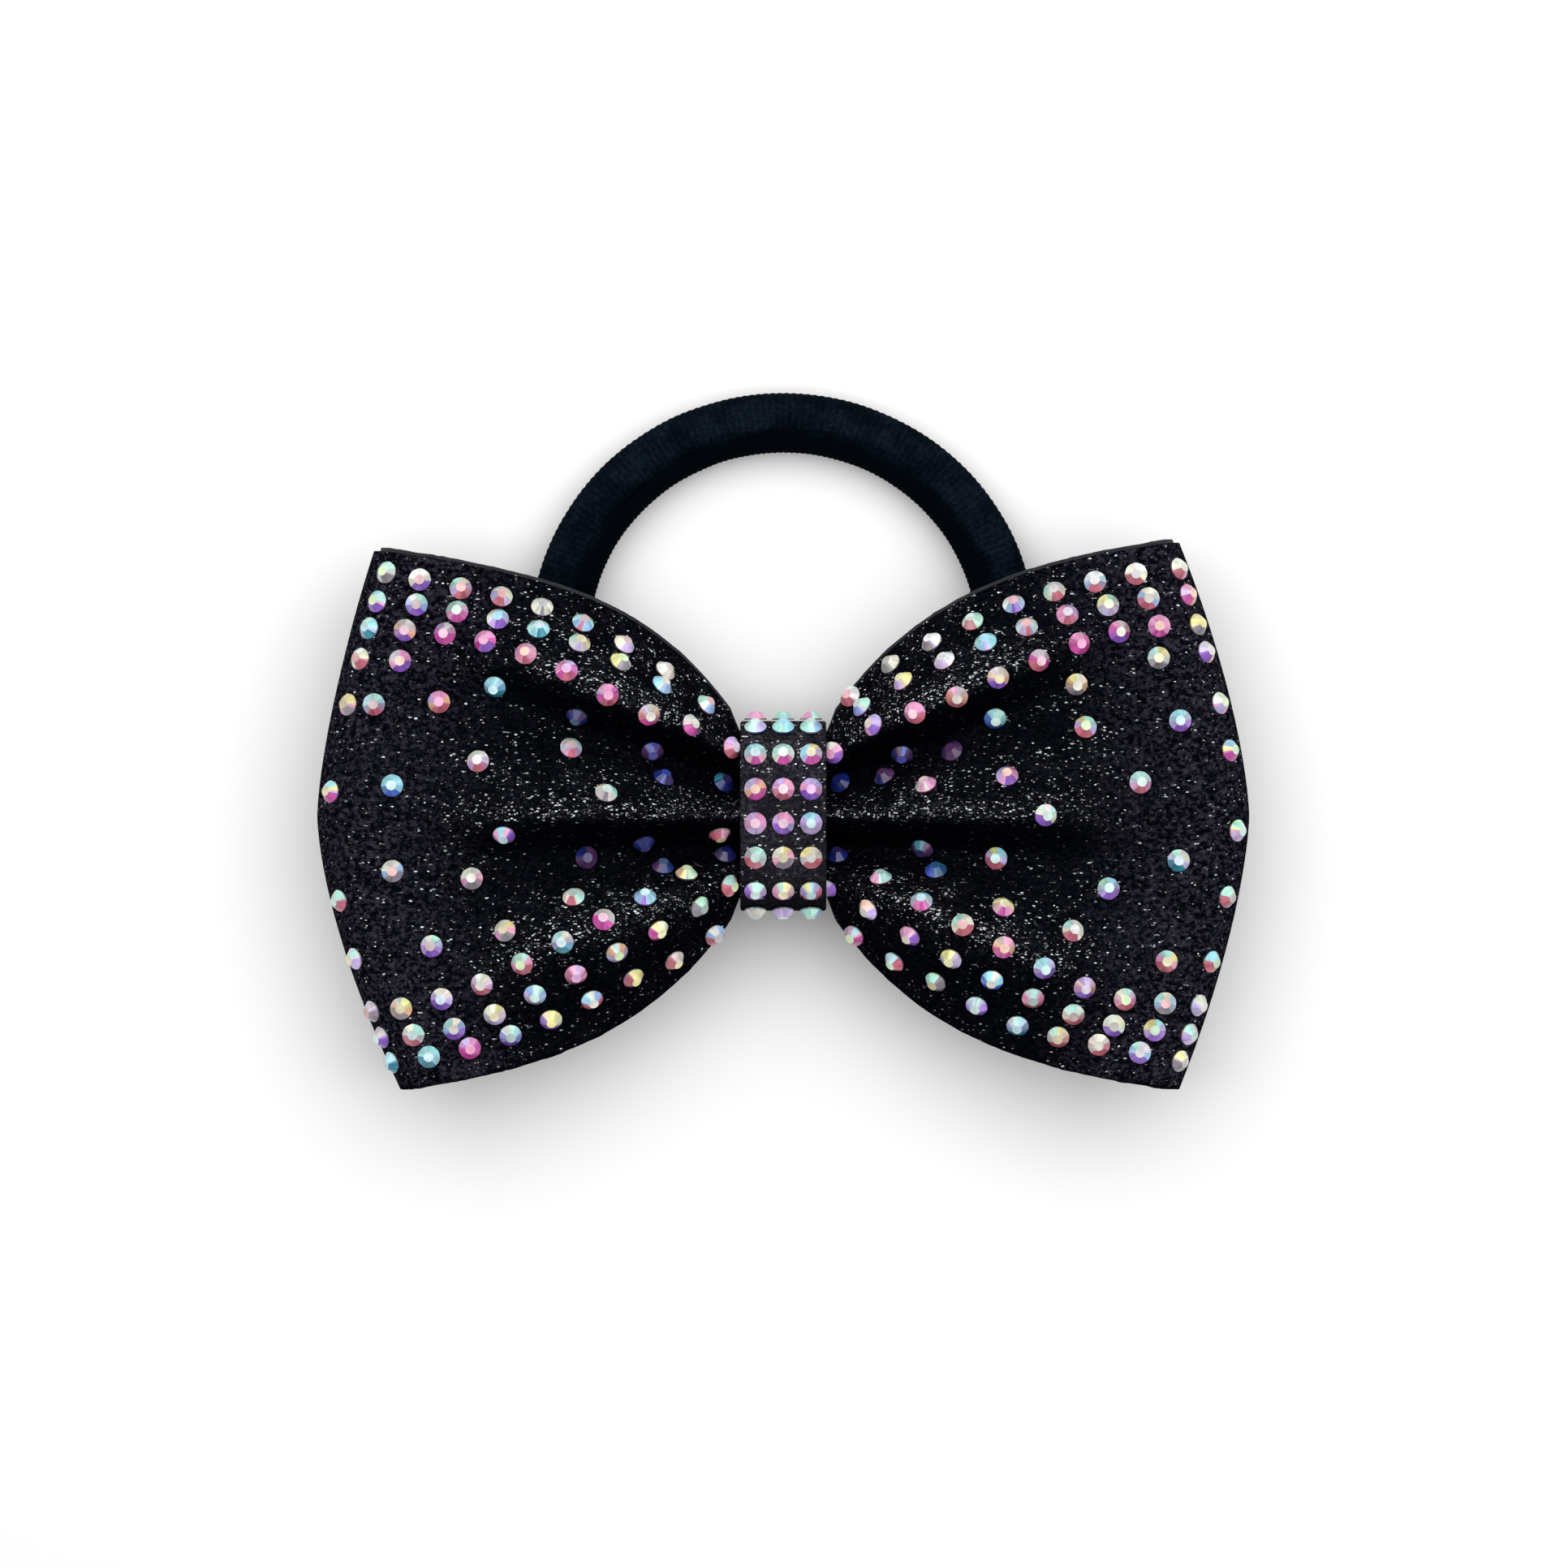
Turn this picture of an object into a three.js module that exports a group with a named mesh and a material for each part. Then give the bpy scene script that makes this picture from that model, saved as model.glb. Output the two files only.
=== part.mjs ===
// Tailless cheer hair bow: two folded loops of lined glitter ribbon, pinched by a centre band,
// with stones on the band and round the loops' outer ends, and a knitted hair elastic behind.
//
// Units are millimetres. The origin is the middle of the band's flat back. +X runs along the bow,
// +Y points to the free side of the elastic, and +Z points out of the decorated front.

import * as THREE from 'three';
import { LoftGeometry } from 'three/addons/geometries/LoftGeometry.js';

// ---------- driving dimensions ----------

// ribbon
const clothThickness = 0.6; // of the glitter cloth and of its lining
const layerGap = 0.3;
const foldRadius = 5.65; // outside of the round fold at a loop's end
const loopReach = 61.3; // from the middle to the fold, on the centre line
const cornerRetreat = 9.2; // how far the fold draws back at the borders
const hollowFloor = 10.2; // underside of the back panels
const pinchHalfWidth = 10;
const knotHalfWidth = 10.7;

// centre band
const bandWidth = 11.3;
const bandThickness = 1.1;
const bandHalfHeight = 12.5;
const bandDepth = 21;
const bandCornerRadius = 6.75;
const bandBackHalf = 4; // half length of the flat back

// hair elastic
const elasticThickness = 8.1;
const elasticHalfWidth = 29.7; // centre line, from the middle to each side
const elasticFarHalf = 28.8; // centre line, from the middle to the free end
const elasticTuckedReach = 23.5; // centre line, from the ring's middle to the band

// stones
const stoneDiameter = 3.1;
const stoneHeight = 1.1;
const stoneTable = 0.42; // table radius over stone radius
const stoneGirdle = 0.2;
const glueGap = 0.15;

// ---------- materials ----------

const glitterCloth = new THREE.MeshStandardMaterial({ color: 0x0d0d10, roughness: 0.85, metalness: 0.1 });
const liningCloth = new THREE.MeshStandardMaterial({ color: 0x111114, roughness: 0.55, metalness: 0 });
const threadBlack = new THREE.MeshStandardMaterial({ color: 0x0a0a0b, roughness: 0.7, metalness: 0 });
const knitNavy = new THREE.MeshStandardMaterial({ color: 0x070a12, roughness: 0.9, metalness: 0 });
const coatedGlass = new THREE.MeshStandardMaterial({ color: 0xd9d2e8, roughness: 0.08, metalness: 0.5 });

const bow = new THREE.Group();

function addPiece(name, geometry, material, parent = bow) {
  const piece = new THREE.Mesh(geometry, material.clone());
  piece.name = name;
  parent.add(piece);
  return piece;
}

function smooth(from, to, value) {
  return THREE.MathUtils.smoothstep(value, from, to);
}

// ---------- ribbon surface ----------
//
// A place on the ribbon has a distance x from the knot's middle and a place w across it, from -1
// at the lower border to +1 at the upper one. The left loop mirrors the right one.

const bandEdge = bandWidth / 2 + 0.05;
const knotEnd = 6.9; // where the ribbon has spread to its free width
const pinchEnd = 1.8; // the thread's stretch
const bundleStart = 3.5; // the band's stretch begins
const foldHeight = hollowFloor + foldRadius;
const knotTop = 16.6; // mean height of the front panel under the band
const knotDepth = 3.4; // front panel's top to back panel's underside, in the knot
const pleatRise = 3; // half the height of the pleats, under the band
const pinchRise = 2.2;
const loopBulge = 4;
const borderDrop = 3.5;

// Half width of the free ribbon at x, seen from the front.
function freeHalfWidth(x) {
  return 35 * (1 - Math.exp(-(x + 0.8) / 16)) + 0.042 * x;
}

function halfWidth(x) {
  const bundled = THREE.MathUtils.lerp(pinchHalfWidth, knotHalfWidth, smooth(pinchEnd, bundleStart, x));
  return THREE.MathUtils.lerp(bundled, freeHalfWidth(x), smooth(bandEdge, knotEnd, x));
}

// Where the flat panels end and the fold begins.
function foldStart(w) {
  return loopReach - cornerRetreat * Math.abs(w) ** 1.5 - foldRadius;
}

// Share of the way from the band to the fold.
function loopShare(x, w) {
  return THREE.MathUtils.clamp((x - bandEdge) / (foldStart(w) - bandEdge), 0, 1);
}

// The pleats' wave across the ribbon: +1 on the middle ridge, -1 in the valleys beside it. The
// valleys and the outer crests fan out from the knot, each in a straight line.
const lowerCrest = { start: 8, fan: 0.36 };
const lowerValley = { start: 4, fan: 0.05 };
const upperValley = { start: 4, fan: 0.38 };
const upperCrest = { start: 8, fan: 0.46 };
const borderWave = -0.5;

// Places of the lower crest, lower valley, upper valley and upper crest, as shares of the half width.
function foldPlaces(x) {
  const beyond = Math.max(0, x - bandEdge);
  const half = beyond > 0 ? halfWidth(x) : knotHalfWidth;
  const place = (line) => (line.start + line.fan * beyond) / half;
  return [-place(lowerCrest), -place(lowerValley), place(upperValley), place(upperCrest)];
}

function pleatWave(x, w) {
  const [lowCrest, lowValley, highValley, highCrest] = foldPlaces(x);
  const crestWave = THREE.MathUtils.lerp(0.6, 1, smooth(0, 10, x - bandEdge));
  const stops = [
    [-1, borderWave],
    [lowCrest, crestWave],
    [lowValley, -1],
    [0, 1],
    [highValley, -1],
    [highCrest, crestWave],
    [1, borderWave],
  ];
  const next = Math.max(1, stops.findIndex(([place]) => w <= place));
  const [fromPlace, fromWave] = stops[next - 1];
  const [toPlace, toWave] = stops[next];
  return THREE.MathUtils.lerp(fromWave, toWave, smooth(fromPlace, toPlace, w));
}

// How far the front panel droops between its outer crests and its borders.
function borderDroop(share, x, w) {
  const places = foldPlaces(x);
  const crest = w < 0 ? -places[0] : places[3];
  const beyondCrest = Math.max(0, (Math.abs(w) - crest) / (1 - crest));
  const alongLoop = smooth(0, 0.25, share) * (1 - smooth(0.6, 1, share));
  return borderDrop * alongLoop * beyondCrest ** 1.5;
}

// Top of the front panel.
function frontHeight(x, w) {
  const share = loopShare(x, w);
  const outerTop = foldHeight + foldRadius;
  const rise = (outerTop - knotTop) * share * (2 - share);
  const bulge = loopBulge * Math.sin(Math.PI * share ** 0.75) ** 2;
  const bundled = THREE.MathUtils.lerp(pinchRise, pleatRise, smooth(pinchEnd, bundleStart, x));
  const depth = share > 0 ? (pleatRise + 16 * share) * (1 - share) ** 2 : bundled;
  return knotTop + rise + bulge + depth * pleatWave(x, w) - borderDroop(share, x, w);
}

// Underside of the back panel, whose pleats nest under the front ones in the knot.
function backHeight(x, w) {
  const share = loopShare(x, w);
  if (share === 0) {
    return frontHeight(x, w) - knotDepth;
  }
  return hollowFloor + pleatRise * (1 - share) ** 3 * (1 + pleatWave(x, w));
}

// One line of the right loop at w, moved inwards from the outer face by the given depth: out along
// the front panel, round the fold, and home along the back panel.
const knotStations = [0, pinchEnd, bundleStart, bandEdge, knotEnd, 9];
const panelSteps = 8;
const foldSteps = 6;

function panelStations(w, homeStation) {
  const lastKnot = knotStations.at(-1);
  const stations = [homeStation, ...knotStations.slice(1)];
  for (let step = 1; step <= panelSteps; step++) {
    stations.push(THREE.MathUtils.lerp(lastKnot, foldStart(w), step / panelSteps));
  }
  return stations;
}

function loopLine(w, depth, homeStation) {
  const line = [];
  for (const x of panelStations(w, 0)) {
    line.push([x, x, frontHeight(x, w) - depth]);
  }
  for (let step = 1; step < foldSteps; step++) {
    const angle = Math.PI * (0.5 - step / foldSteps);
    const outer = foldStart(w) + foldRadius * Math.cos(angle);
    const x = foldStart(w) + (foldRadius - depth) * Math.cos(angle);
    line.push([x, outer, foldHeight + (foldRadius - depth) * Math.sin(angle)]);
  }
  for (const x of panelStations(w, homeStation).reverse()) {
    line.push([x, x, backHeight(x, w) + depth]);
  }
  return line.map(([x, outer, z]) => new THREE.Vector3(x, w * halfWidth(outer), z));
}

// The whole ribbon's line at w: in from the right back end, over the knot, and out to the left one.
function ribbonLine(w, depth) {
  const endGap = 0.3;
  const right = loopLine(w, depth, endGap);
  const left = right.slice(1).map((point) => new THREE.Vector3(-point.x, point.y, point.z));
  return [...right.reverse(), ...left];
}

const ribbonColumns = 18;

// A closed sheet between two grids of points, with every square cut along the same diagonal on both
// faces, so that layers at different depths stay parallel.
function sheetGeometry(outerGrid, innerGrid) {
  const rows = outerGrid.length;
  const columns = outerGrid[0].length;
  const points = [...outerGrid.flat(), ...innerGrid.flat()];
  const outer = (row, column) => row * columns + column;
  const inner = (row, column) => rows * columns + row * columns + column;
  const indices = [];
  const addSquare = (a, b, c, d) => indices.push(a, b, c, a, c, d);
  for (let row = 0; row < rows - 1; row++) {
    for (let column = 0; column < columns - 1; column++) {
      const [next, side] = [row + 1, column + 1];
      addSquare(outer(row, column), outer(next, column), outer(next, side), outer(row, side));
      indices.push(inner(row, column), inner(next, side), inner(next, column));
      indices.push(inner(row, column), inner(row, side), inner(next, side));
    }
  }
  const last = columns - 1;
  for (let row = 0; row < rows - 1; row++) {
    addSquare(inner(row, 0), inner(row + 1, 0), outer(row + 1, 0), outer(row, 0));
    addSquare(outer(row, last), outer(row + 1, last), inner(row + 1, last), inner(row, last));
  }
  const end = rows - 1;
  for (let column = 0; column < last; column++) {
    addSquare(outer(0, column), outer(0, column + 1), inner(0, column + 1), inner(0, column));
    addSquare(inner(end, column), inner(end, column + 1), outer(end, column + 1), outer(end, column));
  }
  const geometry = new THREE.BufferGeometry().setFromPoints(points);
  geometry.setIndex(indices);
  geometry.computeVertexNormals();
  return geometry;
}

// One layer of the ribbon, with its outer face at the given depth.
function ribbonLayer(depth) {
  const across = [];
  for (let column = 0; column <= ribbonColumns; column++) {
    across.push(-1 + (2 * column) / ribbonColumns);
  }
  const outerGrid = across.map((w) => ribbonLine(w, depth));
  const innerGrid = across.map((w) => ribbonLine(w, depth + clothThickness));
  return sheetGeometry(outerGrid, innerGrid);
}

addPiece('glitter_strip', ribbonLayer(0), glitterCloth);
addPiece('backing_strip', ribbonLayer(clothThickness + layerGap), liningCloth);

// ---------- binding thread ----------
//
// A few turns round the pinched ribbon, in a rounded rectangle.

function bindingThread() {
  const turns = 3;
  const pitch = 0.9;
  const radius = 0.25;
  const frontCorner = 5;
  const backCorner = 2.2;
  const halfAcross = 10.55;
  const low = 10.5;
  const high = 19.3;
  const turn = new THREE.Path();
  turn.moveTo(0, high);
  turn.absarc(halfAcross - frontCorner, high - frontCorner, frontCorner, Math.PI / 2, 0, true);
  turn.absarc(halfAcross - backCorner, low + backCorner, backCorner, 0, -Math.PI / 2, true);
  turn.absarc(backCorner - halfAcross, low + backCorner, backCorner, -Math.PI / 2, -Math.PI, true);
  turn.absarc(frontCorner - halfAcross, high - frontCorner, frontCorner, Math.PI, Math.PI / 2, true);
  turn.lineTo(0, high);
  const stepsPerTurn = 24;
  const route = [];
  for (let step = 0; step < turns * stepsPerTurn; step++) {
    const progress = step / stepsPerTurn;
    const place = turn.getPointAt(progress % 1);
    route.push(new THREE.Vector3(pitch * (progress - turns / 2), place.x, place.y));
  }
  const section = new THREE.Shape().absarc(0, 0, radius, 0, 2 * Math.PI);
  return new THREE.ExtrudeGeometry(section, {
    steps: route.length - 1,
    curveSegments: 3,
    extrudePath: new THREE.CatmullRomCurve3(route),
  });
}

addPiece('binding_thread', bindingThread(), threadBlack);

// ---------- centre band ----------
//
// The band's outline in the Y-Z plane: flat front, round front corners, and sides that draw in to
// the flat back.

function bandOutline() {
  const shoulder = bandHalfHeight - bandCornerRadius;
  const sideTop = bandDepth - bandCornerRadius;
  const outline = new THREE.Path();
  outline.moveTo(-bandBackHalf, 0);
  outline.lineTo(bandBackHalf, 0);
  outline.bezierCurveTo(9, 0, bandHalfHeight, 7, bandHalfHeight, sideTop);
  outline.absarc(shoulder, sideTop, bandCornerRadius, 0, Math.PI / 2, false);
  outline.lineTo(-shoulder, bandDepth);
  outline.absarc(-shoulder, sideTop, bandCornerRadius, Math.PI / 2, Math.PI, false);
  outline.bezierCurveTo(-bandHalfHeight, 7, -9, 0, -bandBackHalf, 0);
  return outline;
}

const outline = bandOutline();

function centerBand() {
  const points = outline.getPoints(8);
  const corners = points.filter((point, index) => index === 0 || point.distanceTo(points[index - 1]) > 0.01);
  corners.pop();
  const halfBand = bandWidth / 2;
  const sections = corners.map((point, index) => {
    const before = corners.at(index - 1);
    const after = corners[(index + 1) % corners.length];
    const into = point.clone().sub(before).normalize();
    const away = after.clone().sub(point).normalize();
    const tangent = into.clone().add(away).normalize();
    const inset = bandThickness / into.dot(tangent);
    const inner = new THREE.Vector2(point.x - tangent.y * inset, point.y + tangent.x * inset);
    return [
      new THREE.Vector3(-halfBand, point.x, point.y),
      new THREE.Vector3(-halfBand, inner.x, inner.y),
      new THREE.Vector3(halfBand, inner.x, inner.y),
      new THREE.Vector3(halfBand, point.x, point.y),
    ];
  });
  return new LoftGeometry([...sections, sections[0]]);
}

addPiece('center_band', centerBand(), glitterCloth);

// ---------- stones ----------
//
// A flat-back stone stands on its own XY plane, table up.

function stoneGeometry() {
  const sides = 8;
  const rings = [
    [stoneDiameter / 2, 0],
    [stoneDiameter / 2, stoneGirdle],
    [(stoneDiameter / 2) * stoneTable, stoneHeight],
  ];
  const sections = rings.map(([radius, height]) => {
    const ring = [];
    for (let side = 0; side < sides; side++) {
      const angle = (2 * Math.PI * (side + 0.5)) / sides;
      ring.push(new THREE.Vector3(radius * Math.cos(angle), radius * Math.sin(angle), height));
    }
    return ring;
  });
  return new LoftGeometry(sections, { capStart: true, capEnd: true });
}

function addStone(name, place, outward) {
  const stone = addPiece(name, stoneGeometry(), coatedGlass);
  stone.position.copy(place).addScaledVector(outward, glueGap);
  stone.quaternion.setFromUnitVectors(new THREE.Vector3(0, 0, 1), outward);
}

// Knot stones: rows follow the band's front from its top side to its underside. A row's place is
// its distance along the outline from the middle of the front, towards +Y, and the rows sit a
// little high.
const knotRowPitch = 4.5;
const knotRowShift = 1.3;
const knotRows = 8;
const knotColumnPitch = 3.65;
const knotColumns = 3;

function frontOutlinePlace(distance) {
  const shoulder = bandHalfHeight - bandCornerRadius;
  const turn = Math.min(Math.max(0, Math.abs(distance) - shoulder) / bandCornerRadius, Math.PI / 2);
  const down = Math.max(0, Math.abs(distance) - shoulder - (bandCornerRadius * Math.PI) / 2);
  const y = Math.min(Math.abs(distance), shoulder) + bandCornerRadius * Math.sin(turn);
  const z = bandDepth - bandCornerRadius * (1 - Math.cos(turn)) - down;
  const side = Math.sign(distance) || 1;
  return {
    place: new THREE.Vector3(0, side * y, z),
    outward: new THREE.Vector3(0, side * Math.sin(turn), Math.cos(turn)),
  };
}

for (let row = 1; row <= knotRows; row++) {
  const distance = knotRowPitch * ((knotRows + 1) / 2 - row) + knotRowShift;
  const { place, outward } = frontOutlinePlace(distance);
  for (let column = 1; column <= knotColumns; column++) {
    const across = new THREE.Vector3(knotColumnPitch * (column - (knotColumns + 1) / 2), 0, 0);
    addStone(`knot_stone_r${row}c${column}`, place.clone().add(across), outward);
  }
}

// Outer-edge stones: heights of the stones down each loop's fold, which they all meet at one angle.
const edgeStoneTilt = THREE.MathUtils.degToRad(45);
const rightEdgeHeights = [32.4, 29, 25.1, 21.5, 14.8, 8.6, -1.9, -10.6, -19.1, -24.8, -28.6, -32.1];
const leftEdgeHeights = [31.9, 28.1, 24.6, 20.6, 14.6, 3.2, -11.1, -18.7, -25.6, -29, -32.3];

function addEdgeStone(name, side, y) {
  const w = y / halfWidth(loopReach - foldRadius);
  const reach = foldStart(w) + foldRadius * Math.sin(edgeStoneTilt);
  const height = foldHeight + foldRadius * Math.cos(edgeStoneTilt);
  const step = 0.01;
  const turn = -(foldStart(w + step) - foldStart(w - step)) / (2 * step * halfWidth(reach));
  const outward = new THREE.Vector3(side, turn, 1 / Math.tan(edgeStoneTilt)).normalize();
  addStone(name, new THREE.Vector3(side * reach, y, height), outward);
}

rightEdgeHeights.forEach((y, index) => addEdgeStone(`right_edge_stone_${index + 1}`, 1, y));
leftEdgeHeights.forEach((y, index) => addEdgeStone(`left_edge_stone_${index + 1}`, -1, y));

// ---------- hair elastic ----------
//
// The ring lies behind the bow and turns about the X axis in the band's channel. At rest it tips
// down until its far side is level with the band's back.

const elasticHinge = new THREE.Vector3(0, 0, 5.85);

function elasticRing() {
  const around = 56;
  const sides = 12;
  const tube = elasticThickness / 2;
  const sections = [];
  for (let step = 0; step < around; step++) {
    const angle = (2 * Math.PI * step) / around;
    const reach = Math.sin(angle) > 0 ? elasticFarHalf : elasticTuckedReach;
    const centre = new THREE.Vector3(
      elasticHalfWidth * Math.cos(angle),
      elasticTuckedReach + reach * Math.sin(angle),
      0,
    );
    const away = new THREE.Vector3(reach * Math.cos(angle), elasticHalfWidth * Math.sin(angle), 0).normalize();
    const section = [];
    for (let side = 0; side < sides; side++) {
      const turn = (2 * Math.PI * side) / sides;
      section.push(
        centre
          .clone()
          .addScaledVector(away, tube * Math.cos(turn))
          .add(new THREE.Vector3(0, 0, -tube * Math.sin(turn))),
      );
    }
    sections.push(section);
  }
  return new LoftGeometry([...sections, sections[0]]);
}

const elastic = new THREE.Group();
const elasticFarReach = elasticTuckedReach + elasticFarHalf;
elastic.position.copy(elasticHinge);
elastic.rotation.x = -Math.asin((elasticHinge.z - elasticThickness / 2) / elasticFarReach);
bow.add(elastic);
addPiece('hair_elastic', elasticRing(), knitNavy, elastic);

export default bow;
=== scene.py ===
# %% [markdown]
# # A cheer hair bow
#
# The bow is a strip of black glitter ribbon with a smooth lining. It is folded into two loops, pinched
# in pleats at the middle and wrapped by a narrow band. A knitted hair elastic runs through the band
# behind the knot, and small faceted stones are glued on the band and the loops.
#
# The sizes below are in millimetres, as a maker would write them, and MM turns them into metres.
# The CAD model gives the frame, and each cell makes one piece or one finish and prints what it made.

# %% Load the frame
import math
import random

import bmesh
import bpy
from mathutils import Matrix, Vector, noise


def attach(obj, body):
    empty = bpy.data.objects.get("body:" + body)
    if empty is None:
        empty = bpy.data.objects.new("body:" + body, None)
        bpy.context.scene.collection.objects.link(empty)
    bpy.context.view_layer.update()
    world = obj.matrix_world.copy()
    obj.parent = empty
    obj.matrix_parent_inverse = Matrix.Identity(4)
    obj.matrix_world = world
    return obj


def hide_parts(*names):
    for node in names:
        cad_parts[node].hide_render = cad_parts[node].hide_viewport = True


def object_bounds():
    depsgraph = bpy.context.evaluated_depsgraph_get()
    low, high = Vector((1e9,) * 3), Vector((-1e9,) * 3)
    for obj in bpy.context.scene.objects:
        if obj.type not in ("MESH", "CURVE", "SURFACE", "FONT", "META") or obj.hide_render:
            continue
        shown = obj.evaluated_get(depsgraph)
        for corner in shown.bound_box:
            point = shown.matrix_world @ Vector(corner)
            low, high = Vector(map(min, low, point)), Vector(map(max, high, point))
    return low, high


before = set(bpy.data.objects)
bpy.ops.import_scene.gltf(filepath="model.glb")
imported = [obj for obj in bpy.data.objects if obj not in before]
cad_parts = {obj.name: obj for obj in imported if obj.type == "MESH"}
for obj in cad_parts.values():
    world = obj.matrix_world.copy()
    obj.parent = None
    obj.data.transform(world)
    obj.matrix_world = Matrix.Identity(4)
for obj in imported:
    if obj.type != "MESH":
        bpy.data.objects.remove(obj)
cad_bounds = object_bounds()
MM = 0.001
cad_size = [round(1000 * side, 1) for side in cad_bounds[1] - cad_bounds[0]]
print("frame:", len(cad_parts), "nodes,", cad_size, "mm")

# %% [markdown]
# ## Camera, floor and light
#
# The bow lies on a pale table and is seen from straight above, so the camera looks down its own -Z
# with no turn. A long lens from well above keeps the loops' thickness from spreading. The light is a
# wide soft source above the bow, a little towards the elastic, and an even pale surround fills the
# shadows.


# %% Camera
def add_camera():
    height = 1.0
    subject_height = 0.018
    view_width = 0.2058
    data = bpy.data.cameras.new("camera")
    data.sensor_width = 36
    data.lens = data.sensor_width * (height - subject_height) / view_width
    data.dof.use_dof = False
    data.clip_start = 0.05
    camera = bpy.data.objects.new("camera", data)
    bpy.context.scene.collection.objects.link(camera)
    camera.location = (0.0001, 0.0042, height)
    bpy.context.scene.camera = camera
    print("camera: lens", round(data.lens, 1), "mm at", height, "m")


add_camera()


# %% Floor and light
def add_floor():
    shape = bmesh.new()
    bmesh.ops.create_grid(shape, x_segments=1, y_segments=1, size=3)
    mesh = bpy.data.meshes.new("floor")
    shape.to_mesh(mesh)
    shape.free()
    floor = bpy.data.objects.new("floor", mesh)
    bpy.context.scene.collection.objects.link(floor)
    material = bpy.data.materials.new("table_top")
    material.use_nodes = True
    shader = material.node_tree.nodes["Principled BSDF"]
    shader.inputs["Base Color"].default_value = (0.93, 0.93, 0.93, 1)
    shader.inputs["Roughness"].default_value = 0.9
    shader.inputs["Specular IOR Level"].default_value = 0.2
    mesh.materials.append(material)


def add_softbox(name, place, aim, width, depth, power):
    data = bpy.data.lights.new(name, "AREA")
    data.shape = "RECTANGLE"
    data.size = width
    data.size_y = depth
    data.energy = power
    light = bpy.data.objects.new(name, data)
    bpy.context.scene.collection.objects.link(light)
    light.location = place
    light.rotation_euler = (Vector(aim) - Vector(place)).to_track_quat("-Z", "Y").to_euler()


def set_surround(strength):
    world = bpy.data.worlds.new("pale_room")
    world.use_nodes = True
    world.node_tree.nodes["Background"].inputs["Color"].default_value = (1, 1, 1, 1)
    world.node_tree.nodes["Background"].inputs["Strength"].default_value = strength
    bpy.context.scene.world = world


add_floor()
set_surround(0.5)
add_softbox(
    "key_softbox", place=(0.02, 0.11, 0.36), aim=(0.01, 0.03, 0), width=0.72, depth=0.46, power=1.95
)
bpy.context.scene.view_settings.view_transform = "Standard"
bpy.context.scene.view_settings.look = "None"
print("light: a softbox and a pale surround")

# %% [markdown]
# ## The ribbon's shape
#
# On the real bow, the ribbon's path in side view is simple: out along the front, round a fold, and home
# along the back. Across the ribbon it waves in pleats that fan out from the knot. A simulation would
# lose the crisp pleats that a maker sets by hand, so the surface is a formula: one function for the
# half width, one for the pleats' wave and one for the height. The stones use the same functions, so
# they always sit on the cloth.

# %% Ribbon dimensions
CLOTH_THICKNESS = 0.6
LAYER_GAP = 0.3
FOLD_RADIUS = 5.65
LOOP_REACH = 61.3
CORNER_RETREAT = 9.2
HOLLOW_FLOOR = 10.2
PINCH_HALF_WIDTH = 10
KNOT_HALF_WIDTH = 10.7
BAND_WIDTH = 11.3
BAND_EDGE = BAND_WIDTH / 2 + 0.05
KNOT_END = 6.9
PINCH_END = 1.8
BUNDLE_START = 3.5
FOLD_HEIGHT = HOLLOW_FLOOR + FOLD_RADIUS
KNOT_TOP = 16.6
KNOT_DEPTH = 3.4
PLEAT_RISE = 3
PLEAT_GROWTH = 16
PINCH_RISE = 2.2
LOOP_BULGE = 4
BORDER_DROP = 3.5
BORDER_WAVE = -0.5
SPREAD_WIDTH = 35
SPREAD_LENGTH = 16
SPREAD_OFFSET = 0.8
LATE_SPREAD = 0.042
# Each pleat line: its distance from the middle at the band, and how far it fans out per millimetre.
LOWER_CREST = (8, 0.36)
LOWER_VALLEY = (4, 0.05)
UPPER_VALLEY = (4, 0.38)
UPPER_CREST = (8, 0.46)


def clamp(value):
    return max(0.0, min(1.0, value))


def smooth(low, high, value):
    share = clamp((value - low) / (high - low))
    return share * share * (3 - 2 * share)


def mix(first, second, share):
    return first + (second - first) * share


# %% Ribbon surface
def half_width(x):
    free = SPREAD_WIDTH * (1 - math.exp(-(x + SPREAD_OFFSET) / SPREAD_LENGTH)) + LATE_SPREAD * x
    bundled = mix(PINCH_HALF_WIDTH, KNOT_HALF_WIDTH, smooth(PINCH_END, BUNDLE_START, x))
    return mix(bundled, free, smooth(BAND_EDGE, KNOT_END, x))


def fold_start(w):
    return LOOP_REACH - CORNER_RETREAT * abs(w) ** 1.5 - FOLD_RADIUS


def loop_share(x, w):
    return clamp((x - BAND_EDGE) / (fold_start(w) - BAND_EDGE))


def pleat_places(x):
    """Places across the ribbon of the lower crest, lower valley, upper valley and upper crest."""
    beyond = max(0, x - BAND_EDGE)
    half = half_width(x) if beyond > 0 else KNOT_HALF_WIDTH
    pleats = (LOWER_CREST, LOWER_VALLEY, UPPER_VALLEY, UPPER_CREST)
    shares = [(start + fan * beyond) / half for start, fan in pleats]
    return -shares[0], -shares[1], shares[2], shares[3]


def pleat_wave(x, w):
    lower_crest, lower_valley, upper_valley, upper_crest = pleat_places(x)
    crest_wave = mix(0.6, 1, smooth(0, 10, x - BAND_EDGE))
    stops = (
        (-1, BORDER_WAVE),
        (lower_crest, crest_wave),
        (lower_valley, -1),
        (0, 1),
        (upper_valley, -1),
        (upper_crest, crest_wave),
        (1, BORDER_WAVE),
    )
    for (place, wave), (next_place, next_wave) in zip(stops, stops[1:]):
        if w <= next_place:
            return mix(wave, next_wave, smooth(place, next_place, w))
    return BORDER_WAVE


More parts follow.
